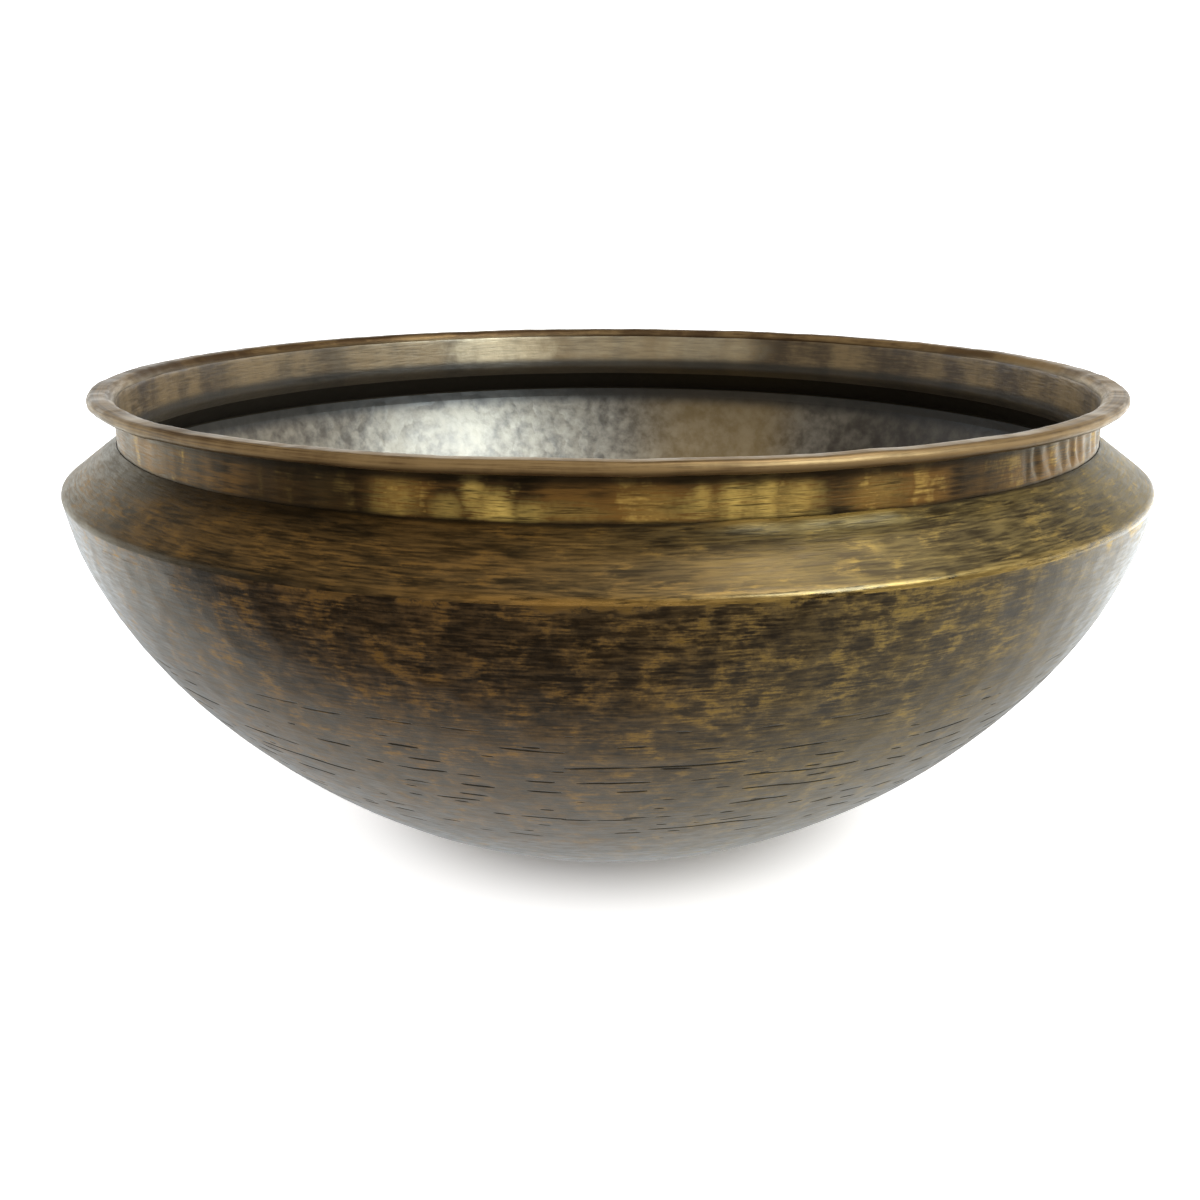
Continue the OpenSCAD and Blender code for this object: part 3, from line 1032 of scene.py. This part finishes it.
def neck_inside_finish():
    """Inner wall of the neck: brushed brass, with painted highlights at the back and painted shade at its
    foot.
    """
    material, b, shader, at = new_finish("rubbed_neck_inside")
    scratch = brushing(b, at, 70.0, at.z * 900.0)
    fine = b.noise(at.round_point(0.25, at.z, 1.0), 90.0, detail=3.0, rough=0.6)
    panel = b.step(b.noise(at.round_point(0.25, at.z, 0.15), 34.0, detail=1.0), 0.30, 0.70)
    shade = fine * 0.5 + panel * 0.3 + scratch * 0.2
    colour = b.blend(b.step(shade, 0.25, 0.75), (0.060, 0.035, 0.011), (0.235, 0.155, 0.060))
    angle = b.math("ARCTAN2", at.x, at.y)
    stray = (fine - 0.5) * 2.5 + (scratch - 0.5) * 0.6
    # Painted highlights: pale patches where the light is reflected on the back of the neck.
    pale = spots(b, at, angle, stray, BACK_PAINTED_HIGHLIGHTS) * (0.55 + 0.45 * scratch)
    colour = b.blend(pale, colour, (0.92, 0.78, 0.50))
    # Painted shade: the neck's foot darkened under the shoulder.
    foot = b.step(at.z, RIM_TOP - 0.0170, RIM_TOP - 0.0215)
    colour = b.blend(foot * 0.85, colour, (0.012, 0.009, 0.004))
    height = fine * 0.25 * MM + scratch * 0.05 * MM
    set_metal(b, shader, colour, 0.35, 0.38 + 0.12 * scratch, height)
    return material


def plain_metal(name, tone, metallic):
    """Metal of the joints and the wire: dull, with a grain of its own."""
    material, b, shader, at = new_finish(name)
    grain = b.noise(at.point, 400.0, detail=3.0)
    colour = b.blend(grain, tuple(0.6 * v for v in tone), tuple(tone))
    roughness = 0.45 + 0.2 * grain
    set_metal(b, shader, colour, metallic, roughness, grain * 0.05 * MM)
    return material


# ---------------------------------------------------------------- pieces


SEAM_TURN = -20 * DEG
SEAM_HALF = 0.3 * MM / 0.2345


class URLI_OT_lower_bowl(bpy.types.Operator):
    """Raise the dished lower bowl and hammer it"""

    bl_idname = "urli.lower_bowl"
    bl_label = "Lower bowl"

    def execute(self, context):
        outside, inside = Sections().lower_bowl()
        piece = turn_up("hammered_bowl", [*outside, *inside], 540)
        hammer(piece, "belly_blows", bowl_blows)
        finish_piece(piece, "lower_bowl", [belly_finish(), inside_finish()])
        centre = 0.25
        for face in piece.data.polygons:
            x, y, z = face.center
            nx, ny, nz = face.normal
            if x * nx + y * ny + (z - centre) * nz < 0:
                face.material_index = 1
        return {"FINISHED"}


class URLI_OT_shoulder(bpy.types.Operator):
    """Turn the sloping shoulder and its ridge"""

    bl_idname = "urli.shoulder"
    bl_label = "Shoulder"

    def execute(self, context):
        piece = turn_up("sloping_shoulder", Sections().shoulder(), 900)
        hammer(piece, "shoulder_blows", shoulder_blows)
        belly = bpy.data.materials["hammered_belly_patina"]
        finishes = [shoulder_finish(), belly, recess_finish()]
        finish_piece(piece, "shoulder", finishes)
        for face in piece.data.polygons:
            x, y, z = face.center
            nx, ny, nz = face.normal
            facing = (x * nx + y * ny) / math.hypot(x, y)
            if facing * 0.595 + nz * 0.804 < -0.3:
                face.material_index = 2
            elif z < WAIST_Z_CALM + 0.0005:
                face.material_index = 1
        return {"FINISHED"}


class URLI_OT_neck(bpy.types.Operator):
    """Turn the neck with its rolled rim and crimp it, leaving a narrow gap at its seam"""

    bl_idname = "urli.neck"
    bl_label = "Neck and rim"

    def execute(self, context):
        finish = neck_finish()
        start = SEAM_TURN + SEAM_HALF
        angle = 2 * math.pi - 2 * SEAM_HALF
        piece = turn_up("rolled_neck", Sections().neck(), 900, start, angle)
        hammer(piece, "neck_blows", neck_blows)
        finish_piece(piece, "neck_collar", [finish, neck_inside_finish()])
        for face in piece.data.polygons:
            x, y, z = face.center
            nx, ny, nz = face.normal
            facing = (x * nx + y * ny) / math.hypot(x, y)
            if facing < -0.3 and z < RIM_TOP - 0.0045:
                face.material_index = 1
        return {"FINISHED"}


class URLI_OT_joints(bpy.types.Operator):
    """Run the core wire into the rim and the brazing metal into the joints"""

    bl_idname = "urli.joints"
    bl_label = "Wire and brazing"

    def execute(self, context):
        c = colours()
        solder = plain_metal("darkened_brazing_metal", c.solder, 0.8)
        wire = plain_metal("drawn_core_wire", c.wire, 0.9)
        parts = Sections()
        rings = (
            ("core_wire", parts.wire(), "rim_wire", "core_wire", wire),
            ("waist_fill", parts.waist_film(), "waist_braze", "braze_metal", solder),
            ("neck_fill", parts.neck_film(), "neck_braze", "braze_metal", solder),
        )
        for name, line, node, slot, material in rings:
            piece = turn_up(name, line, 480)
            hammer(piece, name + "_follow", still)
            finish_piece(piece, node, [material])
        start = SEAM_TURN - SEAM_HALF
        piece = turn_up("seam_fill", parts.neck(), 2, start, 2 * SEAM_HALF)
        hammer(piece, "seam_fill_follow", neck_blows)
        finish_piece(piece, "collar_seam_braze", [solder])
        return {"FINISHED"}


# ---------------------------------------------------------------- studio


def soft_light(name, place, aim, size, power, colour):
    """A rectangular soft light aimed at a point."""
    light = bpy.data.lights.new(name, "AREA")
    light.shape = "RECTANGLE"
    light.size = size[0]
    light.size_y = size[1]
    light.energy = power
    light.color = colour
    lamp = bpy.data.objects.new(name, light)
    bpy.context.scene.collection.objects.link(lamp)
    lamp.location = place
    run = [a - p for a, p in zip(aim, place)]
    level = math.hypot(run[0], run[1])
    lamp.rotation_euler = (math.atan2(level, -run[2]), 0.0, math.atan2(-run[0], run[1]))
    return lamp


def standing_at(azimuth, rise, reach):
    """A point at a distance from the bowl, by degrees right of its front and above the floor."""
    level = reach * math.cos(rise * DEG)
    turn = azimuth * DEG
    return (level * math.sin(turn), -level * math.cos(turn), reach * math.sin(rise * DEG))


def studio_air():
    """Pale surroundings, dim on the side the bowl is seen from."""
    world = bpy.data.worlds.new("studio_air")
    world.use_nodes = True
    world.node_tree.nodes.clear()
    b = Bench(world.node_tree)
    _, y, z = b.split(b.term(b.node("ShaderNodeTexCoord"), "Generated"))
    back = b.step(y, -0.35, 0.45, 0.01, 2.60)
    roof = b.step(z, 0.15, 0.44)
    glow = back * (1 - roof) + 0.05 * roof
    mirrored = b.term(b.node("ShaderNodeLightPath"), "Is Glossy Ray")
    glow = glow * mirrored + 1.20 * (1 - mirrored)
    air = b.blend(mirrored, (1.0, 1.0, 1.0), COOL_GLOW)
    backdrop = b.node("ShaderNodeBackground", {}, {"Color": air, "Strength": glow})
    b.node("ShaderNodeOutputWorld", {}, {"Surface": b.term(backdrop)})
    bpy.context.scene.world = world


def mirrored_floor():
    """The floor as it shows in reflections only: dark before the bowl and pale behind it."""
    bpy.ops.mesh.primitive_plane_add(size=7.0, location=(0, 0, 0.75 * MM))
    flat = bpy.context.object
    flat.name = "mirrored_floor"
    paint = bpy.data.materials.new("mirrored_floor_paint")
    paint.use_nodes = True
    shader = paint.node_tree.nodes["Principled BSDF"]
    b = Bench(paint.node_tree)
    x, y, _ = b.split(b.term(b.node("ShaderNodeTexCoord"), "Object"))
    left = (x + 0.5) * -0.30 - 0.14
    right = b.smallest((x - 0.15) * 0.9 - 0.27, (x - 0.5) * 0.38 - 0.12)
    edge = b.largest(b.largest(left, right), -0.265)
    soft = b.step(x, -0.15, 0.50, 0.03, 0.38)
    away = b.math("SQRT", x * x + y * y)
    pale = b.step(away, 0.26, 0.58, 0.36, 1.0)
    side = b.step(x, -0.45, -0.10, 0.62, 0.80) + b.step(x, 0.05, 0.40, 0.0, 0.12)
    tone = b.step((y - edge) / soft, -1.0, 1.0) * pale * side + 0.002
    b.feed(shader.inputs["Emission Color"], b.blend(tone, (0.0, 0.0, 0.0), COOL_GLOW))
    shader.inputs["Emission Strength"].default_value = 4.3
    shader.inputs["Base Color"].default_value = (0.0, 0.0, 0.0, 1.0)
    shader.inputs["Specular IOR Level"].default_value = 0.0
    flat.data.materials.append(paint)
    flat.visible_camera = False
    flat.visible_diffuse = False
    flat.visible_shadow = False


class URLI_OT_studio(bpy.types.Operator):
    """Lay the pale floor, set the soft lights and place the camera"""

    bl_idname = "urli.studio"
    bl_label = "Studio"

    def execute(self, context):
        bpy.ops.object.select_all(action="DESELECT")
        bpy.ops.mesh.primitive_plane_add(size=sizes().floor, location=(0, 0, 0))
        floor = bpy.context.object
        floor.name = "studio_floor"
        pale = bpy.data.materials.new("pale_floor")
        pale.use_nodes = True
        shader = pale.node_tree.nodes["Principled BSDF"]
        shader.inputs["Base Color"].default_value = (*colours().floor, 1.0)
        shader.inputs["Roughness"].default_value = 0.9
        shader.inputs["Specular IOR Level"].default_value = 0.0
        # Painted light: the floor glows of itself, less near the bowl's foot, which lifts it to white and
        # leaves a faint painted contact shadow round the base.
        b = Bench(pale.node_tree)
        x, y, _ = b.split(b.term(b.node("ShaderNodeTexCoord"), "Object"))
        aside = x - 0.005
        reach = b.math("SQRT", aside * aside + y * y)
        glow = b.step(reach, 0.085, 0.150, 0.12, 0.70)
        painted_floor_glow = b.blend(glow, (0.0, 0.0, 0.0), (1.0, 1.0, 1.0))
        b.feed(shader.inputs["Emission Color"], painted_floor_glow)
        shader.inputs["Emission Strength"].default_value = 1.0
        floor.data.materials.append(pale)

        mirrored_floor()
        studio_air()
        aim = (0.0, 0.0, 0.15)
        window = standing_at(48, 38, 2.0)
        key = soft_light("window_light", window, aim, (0.85, 1.0), 42.0, (0.80, 0.93, 1.0))
        key.visible_diffuse = False
        high = standing_at(80, 70, 2.0)
        side = soft_light("high_light", high, aim, (0.5, 0.5), 13.0, (1.0, 0.98, 0.94))
        side.visible_diffuse = False
        fill = soft_light("fill_light", window, aim, (2.2, 2.2), 26.0, (1.0, 0.98, 0.95))
        fill.visible_glossy = False
        roof = soft_light("roof_light", (0.0, 0.2, 2.4), (0, 0.1, 0), (2.6, 2.6), 24.0, (1.0, 0.98, 0.95))
        roof.visible_glossy = False

        view = bpy.data.cameras.new("bowl_camera")
        view.lens = 37.3
        view.sensor_width = 36.0
        view.shift_x = -8 / 1200
        view.clip_end = 60.0
        camera = bpy.data.objects.new("bowl_camera", view)
        bpy.context.scene.collection.objects.link(camera)
        camera.location = (0.0, -0.6225, 0.295)
        camera.rotation_euler = (math.pi / 2 - 0.300, 0.0, 0.0)
        bpy.context.scene.camera = camera
        bpy.context.scene.view_settings.view_transform = "Standard"
        return {"FINISHED"}


class URLI_PT_panel(bpy.types.Panel):
    """Lists the urli's pieces, sizes and colours."""

    bl_idname = "URLI_PT_panel"
    bl_label = "Hammered urli"
    bl_space_type = "VIEW_3D"
    bl_region_type = "UI"
    bl_category = "Urli"

    def draw(self, context):
        layout = self.layout
        for group in (context.scene.urli_sizes, context.scene.urli_colours):
            box = layout.box()
            for name in group.__annotations__:
                box.prop(group, name)
        for operator in (*PIECES, URLI_OT_studio):
            layout.operator(operator.bl_idname)


PIECES = (URLI_OT_lower_bowl, URLI_OT_shoulder, URLI_OT_neck, URLI_OT_joints)
CLASSES = (UrliSizes, UrliColours, *PIECES, URLI_OT_studio, URLI_PT_panel)


def register():
    for made in CLASSES:
        bpy.utils.register_class(made)
    bpy.types.Scene.urli_sizes = bpy.props.PointerProperty(type=UrliSizes)
    bpy.types.Scene.urli_colours = bpy.props.PointerProperty(type=UrliColours)


def unregister():
    del bpy.types.Scene.urli_colours
    del bpy.types.Scene.urli_sizes
    for made in reversed(CLASSES):
        bpy.utils.unregister_class(made)


def main():
    """Builds the bowl and its studio."""
    register()
    bpy.ops.urli.lower_bowl()
    bpy.ops.urli.shoulder()
    bpy.ops.urli.neck()
    bpy.ops.urli.joints()
    bpy.ops.urli.studio()


if __name__ == "__main__":
    main()
